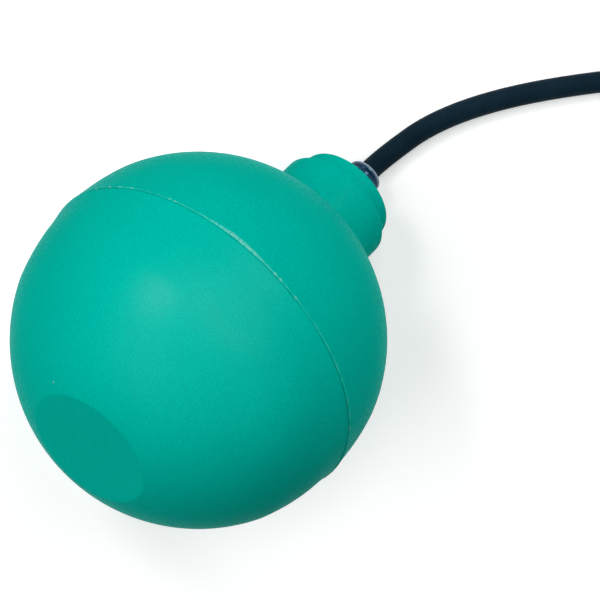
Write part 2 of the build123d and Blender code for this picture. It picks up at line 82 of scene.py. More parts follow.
def restPose(sizes):
    # the float lies on its ball and on the cap's rim
    rimStation = sizes["capEnd"] - sizes["capRim"]
    rimRadius = sizes["capRadius"] - sizes["capRim"]
    reach = math.hypot(rimStation, rimRadius)
    dip = math.asin((sizes["ballRadius"] - sizes["capRim"]) / reach) - math.atan2(rimRadius, rimStation)
    ballX = cadBox[0].x + sizes["ballRadius"]
    axis = Vector((math.cos(dip), 0, -math.sin(dip)))
    lift = Vector((math.sin(dip), 0, math.cos(dip)))
    side = Vector((0, -1, 0))
    turned = Matrix((axis, lift, side)).transposed().to_4x4()
    return Matrix.Translation((ballX, 0, sizes["ballRadius"])) @ turned


floatPose = restPose(floatSizes)  # local x runs along the float's axis towards the cable

# camera, set as the photo was taken: almost straight down
cameraView = {
    "place": (0.10347, 0.0003, 1.26938),
    "looksAlong": (-0.06860, -0.00932, -0.99760),
    "pictureUp": (0.70205, 0.71000, -0.05491),
    "lens": 283.07,
    "sensor": 36.0,
    "farthest": 20.0,
}


def makeCamera(view):
    camera = bpy.data.objects.new("viewCamera", bpy.data.cameras.new("viewCamera"))
    bpy.context.scene.collection.objects.link(camera)
    along = Vector(view["looksAlong"]).normalized()
    right = along.cross(Vector(view["pictureUp"])).normalized()
    turned = Matrix((right, right.cross(along), -along)).transposed().to_4x4()
    camera.matrix_world = Matrix.Translation(view["place"]) @ turned
    camera.data.lens = view["lens"]
    camera.data.sensor_width = view["sensor"]
    camera.data.clip_end = view["farthest"]
    bpy.context.scene.camera = camera


makeCamera(cameraView)
print("camera placed")

# cable: out of the bushing, along the ground, into a tied coil and out to its bare end
cable = {
    "radius": floatSizes["cableRadius"],
    "length": 1.98,
    "startsInside": 0.0015,  # how deep in the bushing the cable begins
    "run": [
        (0.06250, -0.00060, 0.0029),
        (0.07350, -0.00230, 0.0029),
        (0.08650, -0.00760, 0.0029),
        (0.10150, -0.01660, 0.0029),
        (0.11950, -0.03010, 0.0029),
        (0.13850, -0.04650, 0.0029),
        (0.15250, -0.05880, 0.0035),
        (0.16300, -0.06620, 0.0037),
    ],
    "tail": [
        (0.21520, -0.06300, 0.0092),
        (0.22670, -0.05500, 0.0098),
        (0.23760, -0.04660, 0.0092),
        (0.24440, -0.03520, 0.0050),
        (0.24700, -0.02180, 0.0029),
        (0.24540, -0.00820, 0.0029),
        (0.24160, 0.00500, 0.0029),
    ],
}

# coil: a lower layer from the outside in, and an upper one back out
coil = {
    "centre": (0.1900, -0.0270),
    "outerTurn": 0.0468,
    "innerTurn": 0.0234,
    "pitch": 0.00585,
    "upperStart": 4.5,  # turns made where the upper layer begins
    "groundHeight": 0.0037,
    "upperHeight": 0.0088,
    "crossing": 0.0008,  # extra height where an upper turn steps over the lower ones
    "stepsPerTurn": 24,
    "entersAt": 235.0,
    "shiftFrom": 313.0,  # each turn steps one pitch aside over this part of its way
    "shiftSpan": 44.0,
    "climbFrom": 1725.0,  # degrees turned where the cable climbs onto the lower layer
    "climb": [
        (0.0232, 0.0040),
        (0.0223, 0.0052),
        (0.0212, 0.0070),
        (0.0213, 0.0088),
        (0.0234, 0.0096),
        (0.0256, 0.0091),
    ],
    "turned": 2940.0,
}


def coilPoint(turned):
    # radius and height of the cable's middle after so many degrees of the coil
    turn, phase = divmod(turned, 360.0)
    share = min(max((phase - coil["shiftFrom"]) / coil["shiftSpan"], 0.0), 1.0)
    shift = share * share * (3 - 2 * share)
    step = 360.0 / coil["stepsPerTurn"]
    climbing = round((turned - coil["climbFrom"]) / step)
    if 0 <= climbing < len(coil["climb"]):
        return coil["climb"][climbing]
    if climbing < 0:
        return coil["outerTurn"] - coil["pitch"] * (turn + shift), coil["groundHeight"]
    radius = coil["innerTurn"] + coil["pitch"] * (turn - coil["upperStart"] + shift)
    return radius, coil["upperHeight"] + coil["crossing"] * 4 * shift * (1 - shift)


def coilPoints():
    points = []
    steps = round(coil["turned"] * coil["stepsPerTurn"] / 360)
    spread = 1 / math.cos(math.pi / coil["stepsPerTurn"])  # the spline cuts inside its corners
    for step in range(steps + 1):
        turned = step * 360.0 / coil["stepsPerTurn"]
        radius, height = coilPoint(turned)
        angle = math.radians(coil["entersAt"] + turned)
        x = coil["centre"][0] + radius * spread * math.cos(angle)
        y = coil["centre"][1] + radius * spread * math.sin(angle)
        points.append((x, y, height))
    return points


def bushingMouth():
    # the cable leaves here and reaches the ground on the bushing's axis
    mouth = floatPose @ Vector((floatSizes["bushingEnd"], 0, 0))
    axis = (floatPose.to_3x3() @ Vector((1, 0, 0))).normalized()
    landing = mouth + axis * ((mouth.z - cable["radius"]) / -axis.z)
    return mouth, landing


def makeCable():
    mouth, landing = bushingMouth()
    inside = mouth - (landing - mouth).normalized() * cable["startsInside"]
    points = [inside, mouth, landing] + cable["run"] + coilPoints() + cable["tail"]
    curve = bpy.data.curves.new("cable", "CURVE")
    curve.dimensions = "3D"
    curve.bevel_depth = 1.0  # times each point's radius, which is the cable's
    curve.bevel_resolution = 8
    curve.resolution_u = 5
    curve.use_fill_caps = True
    spline = curve.splines.new("NURBS")
    spline.points.add(len(points) - 1)
    for point, place in zip(spline.points, points):
        point.co = (*place, 1.0)
        point.radius = cable["radius"]
    spline.order_u = 3
    spline.use_endpoint_u = True
    piece = bpy.data.objects.new("cable", curve)
    bpy.context.scene.collection.objects.link(piece)
    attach(piece, "root")
    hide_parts("cable_run", "cable_coil", "cable_tail")
    return piece, mouth


cablePiece, cableMouth = makeCable()
print("cable laid")


# outlines are lists of (station, radius): how far along the float's axis, and how far from it
def arcPoints(centre, radius, start, end, steps):
    # angles in degrees from the axis
    points = []
    for step in range(steps + 1):
        angle = math.radians(start + (end - start) * step / steps)
        points.append((centre[0] + radius * math.cos(angle), centre[1] + radius * math.sin(angle)))
    return points


def linePoints(start, end, steps):
    return [
        (start[0] + (end[0] - start[0]) * step / steps, start[1] + (end[1] - start[1]) * step / steps)
        for step in range(steps + 1)
    ]


def bendPoints(start, corner, end, steps):
    # a smooth bend that leaves start and reaches end on the lines to the corner
    points = []
    for step in range(steps + 1):
        share = step / steps
        rest = 1 - share
        points.append(tuple(start * rest**2 + corner * 2 * share * rest + end * share * share))
    return points


def softCorner(before, corner, after, reach, steps=4):
    # a corner rounded over reach on both sides
    corner = Vector(corner)
    start = corner + (Vector(before) - corner).normalized() * reach
    end = corner + (Vector(after) - corner).normalized() * reach
    return bendPoints(start, corner, end, steps)


def chordAt(radius, distance):
    return math.sqrt(radius * radius - distance * distance)


def linkPiece(name, mesh, sharp):
    # edges that turn by more than sharp, in degrees, stay sharp
    mesh.shade_smooth()
    mesh.set_sharp_from_angle(angle=math.radians(sharp))
    piece = bpy.data.objects.new(name, mesh)
    bpy.context.scene.collection.objects.link(piece)
    return piece


def turnedPiece(name, outline, steps, shape=None, marks=None):
    # turns the closed outline round the axis; shape moves a ring's points, marks colours them
    rings = []
    places = []
    marked = []
    for station, radius in outline:
        ring = []
        count = steps if radius > 0 else 1
        for step in range(count):
            angle = 2 * math.pi * step / steps
            along, out = shape(station, radius, angle) if shape else (station, radius)
            ring.append(len(places))
            places.append((along, out * math.cos(angle), out * math.sin(angle)))
            marked.append(marks(station, radius, angle) if marks else 0.0)
        rings.append(ring)
    faces = []
    onAxis = len(rings[0]) == 1 and len(rings[-1]) == 1
    pairs = list(zip(rings, rings[1:])) + ([] if onAxis else [(rings[-1], rings[0])])
    for low, high in pairs:
        for step in range(steps):
            nextStep = (step + 1) % steps
            if len(low) == 1:
                faces.append((low[0], high[step], high[nextStep]))
            elif len(high) == 1:
                faces.append((low[step], high[0], low[nextStep]))
            else:
                faces.append((low[step], high[step], high[nextStep], low[nextStep]))
    mesh = bpy.data.meshes.new(name)
    mesh.from_pydata(places, [], faces)
    mesh.validate()
    mesh.transform(floatPose)  # places are measured along the float's axis until here
    if marks:
        attribute = mesh.attributes.new("paleFlashAndPaintedLightMark", "FLOAT", "POINT")
        attribute.data.foreach_set("value", marked)
    outward = bmesh.new()
    outward.from_mesh(mesh)
    bmesh.ops.recalc_face_normals(outward, faces=outward.faces)
    outward.to_mesh(mesh)
    outward.free()
    piece = linkPiece(name, mesh, 40)
    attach(piece, "root")
    return piece


# weld between the shells: a narrow groove, and a flash that was squeezed out beside it
weld = {
    "steps": 840,
    "grooveDepth": 0.00017,
    "grooveWidth": 0.00030,
    "grooveSlope": 0.00070,
    # how dark the painted shade in the groove is
    "grooveShade": 0.3,
    "flashHeight": 0.00007,
    "flashRise": 0.00016,
    "flashWidth": 0.00036,
    "flashReach": 0.0022,
    "wideAt": 347.0,  # degrees round the axis where most of the flash came out
    "wideSpan": 11.0,
    "wideExtra": 0.00078,
    "wideWhite": 0.68,
    "narrowWhite": 0.17,
    "ragged": 0.00006,
    "specks": (2.0, 4.3, 11.3, 63.0, 290.0, 296.8, 301.5, 306.5, 321.5, 323.6),  # white crumbs
    "speckSpan": 0.5,
    "speckRise": 0.00010,
    "lowSide": 85.0,  # here both shells stand a little in, and out on the other side
    "frontOffset": 0.00045,
    "frontFade": 0.0065,
    "rearOffset": 0.00024,
    "rearReach": 0.028,
    "gapeAt": 284.0,  # here the shells don't quite meet
    "gapeSpan": 17.0,
    "gapeDepth": 0.00032,
    "gapeWidth": 0.00070,
    # how dark the painted shade is where the shells gape
    "gapeShade": 0.95,
}


def aroundNoise(angle, waves, seed):
    # smooth noise from 0 to 1 that closes on itself round the float
    wave = noise.noise(Vector((waves * math.cos(angle), waves * math.sin(angle), seed)))
    return min(max(0.5 + 0.9 * wave, 0.0), 1.0)


def angleAway(angle, place):
    return (math.degrees(angle) - place + 180) % 360 - 180


def bellAt(angle, place, span):
    # 1 at the place and fading to 0 beside it
    return math.exp(-((angleAway(angle, place) / span) ** 2))


def flashAmount(angle):
    wide = bellAt(angle, weld["wideAt"], weld["wideSpan"])
    slow = aroundNoise(angle, 2.6, 4.0)
    quick = aroundNoise(angle, 21.0, 9.0)
    speck = max(bellAt(angle, place, weld["speckSpan"]) for place in weld["specks"])
    return wide, slow, quick, speck


def offsetAt(station, angle, depth, fade):
    # the shells sit a little aside from each other at the weld
    away = math.radians(angleAway(angle, weld["lowSide"]))
    return -depth * math.cos(away) * math.exp(-abs(station) / fade)


def isInside(station, radius):
    return math.hypot(station, radius) < floatSizes["ballRadius"] - floatSizes["skin"]


def openGroove(station, radius, angle):
    # only the front shell's outside moves
    if isInside(station, radius) or station > 1e-6:
        return station, radius
    moved = radius + offsetAt(station, angle, weld["frontOffset"], weld["frontFade"])
    if station < -weld["gapeWidth"]:
        return station, moved
    share = min(2 + 2 * station / weld["gapeWidth"], 1.0)
    return station, moved - weld["gapeDepth"] * bellAt(angle, weld["gapeAt"], weld["gapeSpan"]) * share


def flashWidthAt(angle):
    wide, slow, quick, speck = flashAmount(angle)
    return weld["flashWidth"] * (0.6 + 0.3 * slow + 0.3 * quick + 0.5 * speck) + weld["wideExtra"] * wide


def raiseFlash(station, radius, angle):
    # only the rear shell's outside moves
    if isInside(station, radius) or station > weld["rearReach"]:
        return station, radius
    radius += offsetAt(0, angle, weld["rearOffset"], 1) * (1 - station / weld["rearReach"])
    if station > weld["flashReach"]:
        return station, radius
    wide, slow, quick, speck = flashAmount(angle)
    across = min(station / flashWidthAt(angle), 1.0)
    crest = min(across / 0.25, 1.0) * (1 - across * across) if across > 0 else 0.0
    height = weld["flashHeight"] * (0.5 + slow) + weld["flashRise"] * max(wide, 0.35 * quick)
    torn = noise.noise(Vector((station * 1900, 95 * math.cos(angle), 95 * math.sin(angle))))
    ragged = weld["ragged"] * torn * min(4 * crest, 1.0)
    return station, radius + (height + weld["speckRise"] * speck) * crest + ragged


def flashMark(station, radius, angle):
    # above zero: plastic that went pale where it was squeezed out
    if radius < floatSizes["ballRadius"] - floatSizes["skin"] or station < 0:
        return 0.0
    wide, slow, quick, speck = flashAmount(angle)
    across = station / (flashWidthAt(angle) * 1.05)
    strength = weld["narrowWhite"] * (0.5 + quick) + weld["wideWhite"] * wide * (0.65 + 0.35 * quick)
    return min(max(1.25 - across * across, 0.0), 1.0) * min(max(strength, speck), 1.0)


def grooveShadeMark(station, radius, angle):
    # below zero: painted shade in the groove
    edge = weld["grooveWidth"] + 0.00012
    if radius < floatSizes["ballRadius"] - floatSizes["skin"] or station < -edge:
        return 0.0
    gape = bellAt(angle, weld["gapeAt"], weld["gapeSpan"])
    return -max(weld["grooveShade"] * aroundNoise(angle, 9.0, 2.0), weld["gapeShade"] * gape)


# seats of the sealed capsule inside the shells, and the neck's foot
frontBoss = {"outer": 0.01825, "bore": 0.01565, "seatBore": 0.0125, "seat": -0.0301, "mouth": -0.0221}
rearBoss = {"outer": 0.01825, "bore": 0.01565, "seat": 0.03465, "mouth": 0.02995}
neckShape = {"footFillet": 0.0016, "collarRim": 0.0009}


def bandCurve(bandAngle, blend, band, seamPoint):
    # from the ball's arc to the middle of the straight band
    away = math.radians(bandAngle + blend)
    onBall = Vector((math.cos(away), math.sin(away))) * floatSizes["ballRadius"]
    middle = (Vector(band) + Vector(seamPoint)) / 2
    return bendPoints(onBall, Vector(band), middle, 16)[1:]


def bossAngle(radius, boss, side):
    # where the boss meets the shell's inner ball, in degrees from the axis
    return math.degrees(math.atan2(boss["outer"], side * chordAt(radius, boss["outer"])))


def frontOutline(sizes):
    ball = sizes["ballRadius"]
    inner = ball - sizes["wall"]
    seam = ball - sizes["seamDrop"]
    disc = sizes["discRadius"]
    flatX = -chordAt(ball, disc)
    discAngle = math.degrees(math.asin(disc / ball))
    bandAngle = math.radians(sizes["frontBand"])
    band = (-ball * math.sin(bandAngle), ball * math.cos(bandAngle))
    lipY = seam - weld["grooveSlope"] * math.tan(bandAngle / 2)
    lip = (-weld["grooveSlope"], lipY)
    grooveX = -weld["grooveWidth"]
    grooveY = lipY + (seam - lipY) * (1 - weld["grooveWidth"] / weld["grooveSlope"])
    floorY = seam - weld["grooveDepth"]
    onBall = (-chordAt(ball, disc + 0.001), disc + 0.001)
    blendFrom = 90 + sizes["frontBand"] + sizes["frontBlend"]
    outline = [(flatX, 0.0)]
    outline += [(flatX, disc * share / 10) for share in range(1, 10)]
    outline += softCorner((flatX, 0), (flatX, disc), onBall, sizes["discEdge"])
    outline += arcPoints((0, 0), ball, 180 - discAngle - 0.9, blendFrom, 26)
    outline += bandCurve(90 + sizes["frontBand"], sizes["frontBlend"], band, lip)
    outline += linePoints((band[0] / 2, (band[1] + lip[1]) / 2), lip, 8)[1:]
    outline += softCorner(lip, (grooveX, grooveY), (grooveX / 2, floorY), 0.00008)
    outline += softCorner((grooveX, grooveY), (-0.00012, floorY), (0, floorY), 0.00006)
    outline += [(0, floorY), (0, inner + sizes["lapWall"]), (sizes["lapLength"], inner + sizes["lapWall"])]
    outline += [(sizes["lapLength"], inner), (0, inner)]
    outline += arcPoints((0, 0), inner, 90, bossAngle(inner, frontBoss, -1), 20)[1:]
    outline += [
        (frontBoss["mouth"], frontBoss["outer"]),
        (frontBoss["mouth"], frontBoss["bore"]),
        (frontBoss["seat"], frontBoss["bore"]),
        (frontBoss["seat"], frontBoss["seatBore"]),
        (flatX + sizes["wall"], frontBoss["seatBore"]),
        (flatX + sizes["wall"], 0.0),
    ]
    return outline


def rearOutline(sizes):
    ball = sizes["ballRadius"]
    inner = ball - sizes["wall"]
    seam = ball - sizes["seamDrop"]
    bandAngle = math.radians(sizes["rearBand"])
    band = (ball * math.sin(bandAngle), ball * math.cos(bandAngle))
    slope = (band[1] - seam) / band[0]
    fillet = neckShape["footFillet"]
    rimRound = neckShape["collarRim"]
    collar = sizes["collarRadius"]
    collarEnd = sizes["collarEnd"]
    filletX = chordAt(ball + fillet, collar + fillet)
    filletAngle = math.degrees(math.atan2(collar + fillet, filletX))
    blendFrom = 90 - sizes["rearBand"] - sizes["rearBlend"]
    outline = [(0.0, seam)]
    outline += [(0.00010 * step, seam + slope * 0.00010 * step) for step in range(1, 25)]
    outline += linePoints((0.0028, seam + slope * 0.0028), (band[0] / 2, (band[1] + seam) / 2), 6)
    outline += bandCurve(90 - sizes["rearBand"], -sizes["rearBlend"], band, (0, seam))[::-1][1:]
    outline += arcPoints((0, 0), ball, blendFrom, filletAngle, 26)[1:]
    outline += arcPoints((filletX, collar + fillet), fillet, 180 + filletAngle, 270, 8)[1:]
    outline += linePoints((filletX, collar), (collarEnd - rimRound, collar), 8)[1:-1]
    outline += softCorner((filletX, collar), (collarEnd, collar), (collarEnd, 0), rimRound, 6)
    outline += [
        (collarEnd, sizes["neckBore"]),
        (rearBoss["seat"], sizes["neckBore"]),
        (rearBoss["seat"], rearBoss["bore"]),
        (rearBoss["mouth"], rearBoss["bore"]),
        (rearBoss["mouth"], rearBoss["outer"]),
    ]
    recess = sizes["lapLength"] + sizes["slip"]
    recessAngle = math.degrees(math.atan2(chordAt(inner, recess), recess))
    outline += arcPoints((0, 0), inner, bossAngle(inner, rearBoss, 1), recessAngle, 20)
    lap = inner + sizes["lapWall"] + sizes["slip"]
    outline += [(recess, lap), (0.0, lap)]
    return outline


frontShell = turnedPiece("frontShell", frontOutline(floatSizes), weld["steps"], openGroove, grooveShadeMark)
rearShell = turnedPiece("rearShell", rearOutline(floatSizes), weld["steps"], raiseFlash, flashMark)
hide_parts("front_shell")
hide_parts("rear_shell")
print("shells turned")

# cap on the collar, with its spigot inside the neck
capShape = {
    "rim": 0.0010,
    "footGap": 0.0004,
    "footDepth": 0.0007,
    "faceWall": 0.0058,
    "spigotLength": 0.0095,
    "spigotRadius": 0.0115,
    "grooveLow": 0.05595,
    "grooveHigh": 0.05835,
    "grooveFloor": 0.00990,
    "pocket": 0.0081,
    "bore": 0.00495,
    "boreEdge": 0.0002,
    "steps": 360,
}


def capOutline(sizes, shape):
    end = sizes["capEnd"]
    radius = sizes["capRadius"]
    seat = sizes["collarEnd"]
    pocketFace = end - shape["faceWall"]
    edge = shape["boreEdge"]
    rim = shape["rim"]
    outline = softCorner((pocketFace, shape["bore"]), (end, shape["bore"]), (end, radius), edge)
    outline += linePoints((end, shape["bore"] + 2 * edge), (end, radius - rim - edge), 8)
    outline += arcPoints((end - rim, radius - rim), rim, 90, 0, 8)[::-1]
    outline += linePoints((end - rim - edge, radius), (seat + shape["footGap"], radius), 5)
    outline += [
        (seat + shape["footGap"], radius - shape["footDepth"]),
        (seat, radius - shape["footDepth"]),
        (seat, shape["spigotRadius"]),
        (shape["grooveHigh"], shape["spigotRadius"]),
        (shape["grooveHigh"], shape["grooveFloor"]),
        (shape["grooveLow"], shape["grooveFloor"]),
        (shape["grooveLow"], shape["spigotRadius"]),
        (seat - shape["spigotLength"], shape["spigotRadius"]),
        (seat - shape["spigotLength"], shape["pocket"]),
        (pocketFace, shape["pocket"]),
        (pocketFace, shape["bore"]),
    ]
    return outline


neckCap = turnedPiece("neckCap", capOutline(floatSizes, capShape), capShape["steps"])
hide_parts("neck_cap")

# bushing: soft sleeve with a rounded lip, its flange behind the cap's face
bushingShape = {
    "lip": 0.0005,
    "lipLength": 0.0015,
    "waistDepth": 0.00022,
    "rubbed": 0.00018,  # how wide the painted highlight on the lip's crest is
    "mouthDish": 0.0006,
    "bore": 0.00295,
    "flangeRadius": 0.0080,
    "flangeLow": 0.05705,
    "flangeHigh": 0.05895,
    "steps": 240,
}


def bushingOutline(sizes, shape):
    end = sizes["bushingEnd"]
    radius = sizes["bushingRadius"]
    lip = shape["lip"]
    mouth = (end - shape["mouthDish"], shape["bore"])
    outline = [(mouth[0] - 0.0008, shape["bore"])]
    outline += softCorner((end - 0.002, shape["bore"]), mouth, (end, radius - lip), 0.0002)
    outline += arcPoints((end - lip, radius - lip), lip, 90, -10, 12)[::-1]
    foot = end - shape["lipLength"]
    waist = radius - shape["waistDepth"]
    outline += softCorner((end - lip, radius), (foot, radius), (foot - 0.001, radius - 0.001), 0.00035)
    outline += softCorner((foot, radius), (foot - 0.0004, waist), (foot - 0.002, waist), 0.0002)
    outline += linePoints((foot - 0.0010, waist), (sizes["capEnd"] + 0.0012, waist), 6)
    outline += linePoints((sizes["capEnd"] + 0.0004, radius), (shape["flangeHigh"], radius), 8)
    outline += [
        (shape["flangeHigh"], shape["flangeRadius"]),
        (shape["flangeLow"], shape["flangeRadius"]),
        (shape["flangeLow"], shape["bore"]),
    ]
    return outline


def lipHighlightMark(station, radius, angle):
    # a painted highlight along the lip's crest
    lipStation = floatSizes["bushingEnd"] - bushingShape["lip"] * 0.7
    away = math.hypot(station - lipStation, radius - floatSizes["bushingRadius"])
    return math.exp(-((away / bushingShape["rubbed"]) ** 2))


bushingLine = bushingOutline(floatSizes, bushingShape)
bushing = turnedPiece("cableBushing", bushingLine, bushingShape["steps"], marks=lipHighlightMark)
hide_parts("cable_bushing")
print("neck built")

# ties round the coil, each with its head on top
ties = {
    "angles": (40.0, 140.0, 292.0),
    "width": 0.0045,
    "thickness": 0.0008,
    "lowIn": 0.0205,
    "lowOut": 0.0497,
    "shoulder": 0.0037,
    "topIn": 0.023425,
    "topOut": 0.046775,
    "top": 0.0124,
    "headLength": 0.0062,
    "headWidth": 0.0064,
    "headHeight": 0.0040,
    "headEdge": 0.0006,
    "endLength": 0.0055,
    "endEdge": 0.0002,
    "bend": 0.0011,
    "sideRound": 0.0003,
    "faceRound": 0.00025,
}


def tieLoop():
    # the inside of the strap in the upright plane through the coil's axis: (outwards, up)
    corners = [
        (ties["lowIn"], ties["thickness"]),
        (ties["lowOut"], ties["thickness"]),
        (ties["lowOut"], ties["shoulder"]),
        (ties["topOut"], ties["top"]),
        (ties["topIn"], ties["top"]),
        (ties["lowIn"], ties["shoulder"]),
    ]
    loop = []
    for index, corner in enumerate(corners):
        before = corners[index - 1]
        after = corners[(index + 1) % len(corners)]
        loop += softCorner(before, corner, after, ties["bend"], 5)
    return loop


def strapMesh(builder, turned):
    # a closed band with rounded edges that follows the loop
    loop = tieLoop()
    half = ties["width"] / 2
    thick = ties["thickness"]
    side = half - ties["sideRound"]
    low = ties["faceRound"]
    high = thick - ties["faceRound"]
    section = [(-side, 0.0), (side, 0.0), (half, low), (half, high)]
    section += [(side, thick), (-side, thick), (-half, high), (-half, low)]
    rings = []
    for index, point in enumerate(loop):
        before = Vector(loop[index - 1])
        after = Vector(loop[(index + 1) % len(loop)])
        along = (after - before).normalized()
        outward = Vector((along.y, -along.x))
        ring = []
        for across, out in section:
            flat = Vector(point) + outward * out
            ring.append(builder.verts.new(turned @ Vector((flat.x, across, flat.y))))
        rings.append(ring)
    for ring, nextRing in zip(rings, rings[1:] + rings[:1]):
        for step in range(len(section)):
            nextStep = (step + 1) % len(section)
            builder.faces.new((ring[step], ring[nextStep], nextRing[nextStep], nextRing[step]))


def blockMesh(builder, turned, centre, size, bevel):
    made = bmesh.ops.create_cube(builder, size=1.0)["verts"]
    for vert in made:
        vert.co = Vector(centre) + Vector([vert.co[k] * size[k] for k in range(3)])
    edges = list({edge for vert in made for edge in vert.link_edges})
    faces = bmesh.ops.bevel(builder, geom=edges, offset=bevel, segments=3, affect="EDGES")
    moved = {vert for face in faces["faces"] for vert in face.verts} | {v for v in made if v.is_valid}
    for vert in moved:
        vert.co = turned @ vert.co


def makeTies():
    builder = bmesh.new()
    for angle in ties["angles"]:
        turned = Matrix.Translation((*coil["centre"], 0)) @ Matrix.Rotation(math.radians(angle), 4, "Z")
        strapMesh(builder, turned)
        middle = (ties["topIn"] + ties["topOut"]) / 2
        headUp = ties["top"] + ties["thickness"] * 0.5 + ties["headHeight"] / 2
        headSize = (ties["headLength"], ties["headWidth"], ties["headHeight"])
        blockMesh(builder, turned, (middle, 0, headUp), headSize, ties["headEdge"])
        endX = middle + ties["headLength"] / 2 + ties["endLength"] / 2 - 0.0005
        endSize = (ties["endLength"], ties["width"] * 0.94, ties["thickness"])
        endUp = ties["top"] + ties["thickness"] * 2.6
        blockMesh(builder, turned, (endX, 0, endUp), endSize, ties["endEdge"])
    bmesh.ops.recalc_face_normals(builder, faces=builder.faces)
    mesh = bpy.data.meshes.new("coilTies")
    builder.to_mesh(mesh)
    builder.free()
    piece = linkPiece("coilTies", mesh, 35)
    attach(piece, "root")
    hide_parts("coil_ties")
    return piece


coilTies = makeTies()
print("coil tied")

# floor and light: a pale floor, a key lamp, two wide soft panels, a low lamp and a faint surround
studio = {
    "floorRadius": 0.30,
    "surround": 0.07,
    "ceiling": 0.20,  # how bright the room above the backdrop looks in reflections
    "ceilingFrom": 0.35,
    "ceilingTo": 0.75,
}
lamps = {  # name: where from, how far, how wide, how strong, whether gloss shows it
    "keyLamp": ((0.090, 0.594, 0.800), 1.4, 0.34, 4.3, True),
    "leftPanel": ((-0.50, 0.30, 0.80), 1.6, 1.5, 15.2, False),
    "rightPanel": ((0.60, 0.00, 0.80), 1.6, 1.5, 13.0, False),
    "lowLamp": ((0.93, 0.04, 0.36), 1.4, 0.36, 2.3, True),
}


def addNode(tree, kind, inputs, **settings):
    node = tree.nodes.new(kind)
    for key, value in settings.items():
        setattr(node, key, value)
    for key, value in inputs.items():
        if isinstance(value, bpy.types.NodeSocket):
            tree.links.new(value, node.inputs[key])
        else:
            node.inputs[key].default_value = value
    return node


def mathOf(tree, operation, first, second):
    return addNode(tree, "ShaderNodeMath", {0: first, 1: second}, operation=operation).outputs[0]


def rangeOf(tree, value, low, high, atLow=0.0, atHigh=1.0, **settings):
    inputs = {0: value, 1: low, 2: high, 3: atLow, 4: atHigh}
    return addNode(tree, "ShaderNodeMapRange", inputs, **settings).outputs[0]


def seenRays(tree):
    # 1 for the rays that show the background: camera, mirrored and see-through ones
    rays = addNode(tree, "ShaderNodeLightPath", {}).outputs
    seen = mathOf(tree, "MAXIMUM", rays["Is Camera Ray"], rays["Is Glossy Ray"])
    return mathOf(tree, "MAXIMUM", seen, rays["Is Transmission Ray"])


def makeLamp(name, towards, distance, size, power, mirrored):
    lampData = bpy.data.lights.new(name, "AREA")
    lampData.shape = "DISK"
    lampData.size = size
    lampData.energy = power
    lamp = bpy.data.objects.new(name, lampData)
    bpy.context.scene.collection.objects.link(lamp)
    towards = Vector(towards).normalized()
    aimed = towards.to_track_quat("Z", "Y").to_matrix().to_4x4()
    lamp.matrix_world = Matrix.Translation(towards * distance) @ aimed
    lamp.visible_glossy = mirrored


def makeFloor():
    floorMesh = bpy.data.meshes.new("studioFloor")
    middle = (cadBox[0] + cadBox[1]) / 2
    edge = arcPoints((middle.x, middle.y), studio["floorRadius"], 0, 357, 119)
    floorMesh.from_pydata([(x, y, 0) for x, y in edge], [], [tuple(range(len(edge)))])
    floor = bpy.data.objects.new("studioFloor", floorMesh)
    bpy.context.scene.collection.objects.link(floor)
    return floor


def makeSurround():
    # white to the camera, a white backdrop under a darker ceiling in reflections, faint as light
    world = bpy.data.worlds.new("surround")
    world.use_nodes = True
    bpy.context.scene.world = world
    tree = world.node_tree
    rays = addNode(tree, "ShaderNodeLightPath", {}).outputs
    direction = addNode(tree, "ShaderNodeTexCoord", {}).outputs["Generated"]
    height = addNode(tree, "ShaderNodeSeparateXYZ", {0: direction}).outputs["Z"]
    backdrop = rangeOf(tree, height, studio["ceilingFrom"], studio["ceilingTo"], 1.0, studio["ceiling"])
    mirrored = mathOf(tree, "MULTIPLY", seenRays(tree), backdrop)
    seen = mathOf(tree, "MAXIMUM", mirrored, rays["Is Camera Ray"])
    strength = mathOf(tree, "MAXIMUM", seen, studio["surround"])
    background = tree.nodes["Background"]
    background.inputs["Color"].default_value = (1, 1, 1, 1)
    tree.links.new(strength, background.inputs["Strength"])


studioFloor = makeFloor()
for lampName, lampLook in lamps.items():
    makeLamp(lampName, *lampLook)
makeSurround()
print("studio lit")


# shader effects that several materials share, each built once as a node group
def startGroup(name, inputs, outputs):
    group = bpy.data.node_groups.new(name, "ShaderNodeTree")
    for label, kind, value in inputs:
        socket = group.interface.new_socket(name=label, in_out="INPUT", socket_type="NodeSocket" + kind)
        socket.default_value = value
    for label, kind in outputs:
        group.interface.new_socket(name=label, in_out="OUTPUT", socket_type="NodeSocket" + kind)
    return group, group.nodes.new("NodeGroupInput").outputs, group.nodes.new("NodeGroupOutput").inputs


def placeOf(tree):
    return addNode(tree, "ShaderNodeTexCoord", {}).outputs["Object"]


def vectorOf(tree, operation, inputs, output="Vector"):
    return addNode(tree, "ShaderNodeVectorMath", inputs, operation=operation).outputs[output]


def noiseOf(tree, place, scale, detail, roughness):
    inputs = {"Vector": place, "Scale": scale, "Detail": detail, "Roughness": roughness}
    return addNode(tree, "ShaderNodeTexNoise", inputs).outputs[0]


def blendColours(tree, share, first, second):
    return addNode(tree, "ShaderNodeMix", {0: share, 6: first, 7: second}, data_type="RGBA").outputs[2]


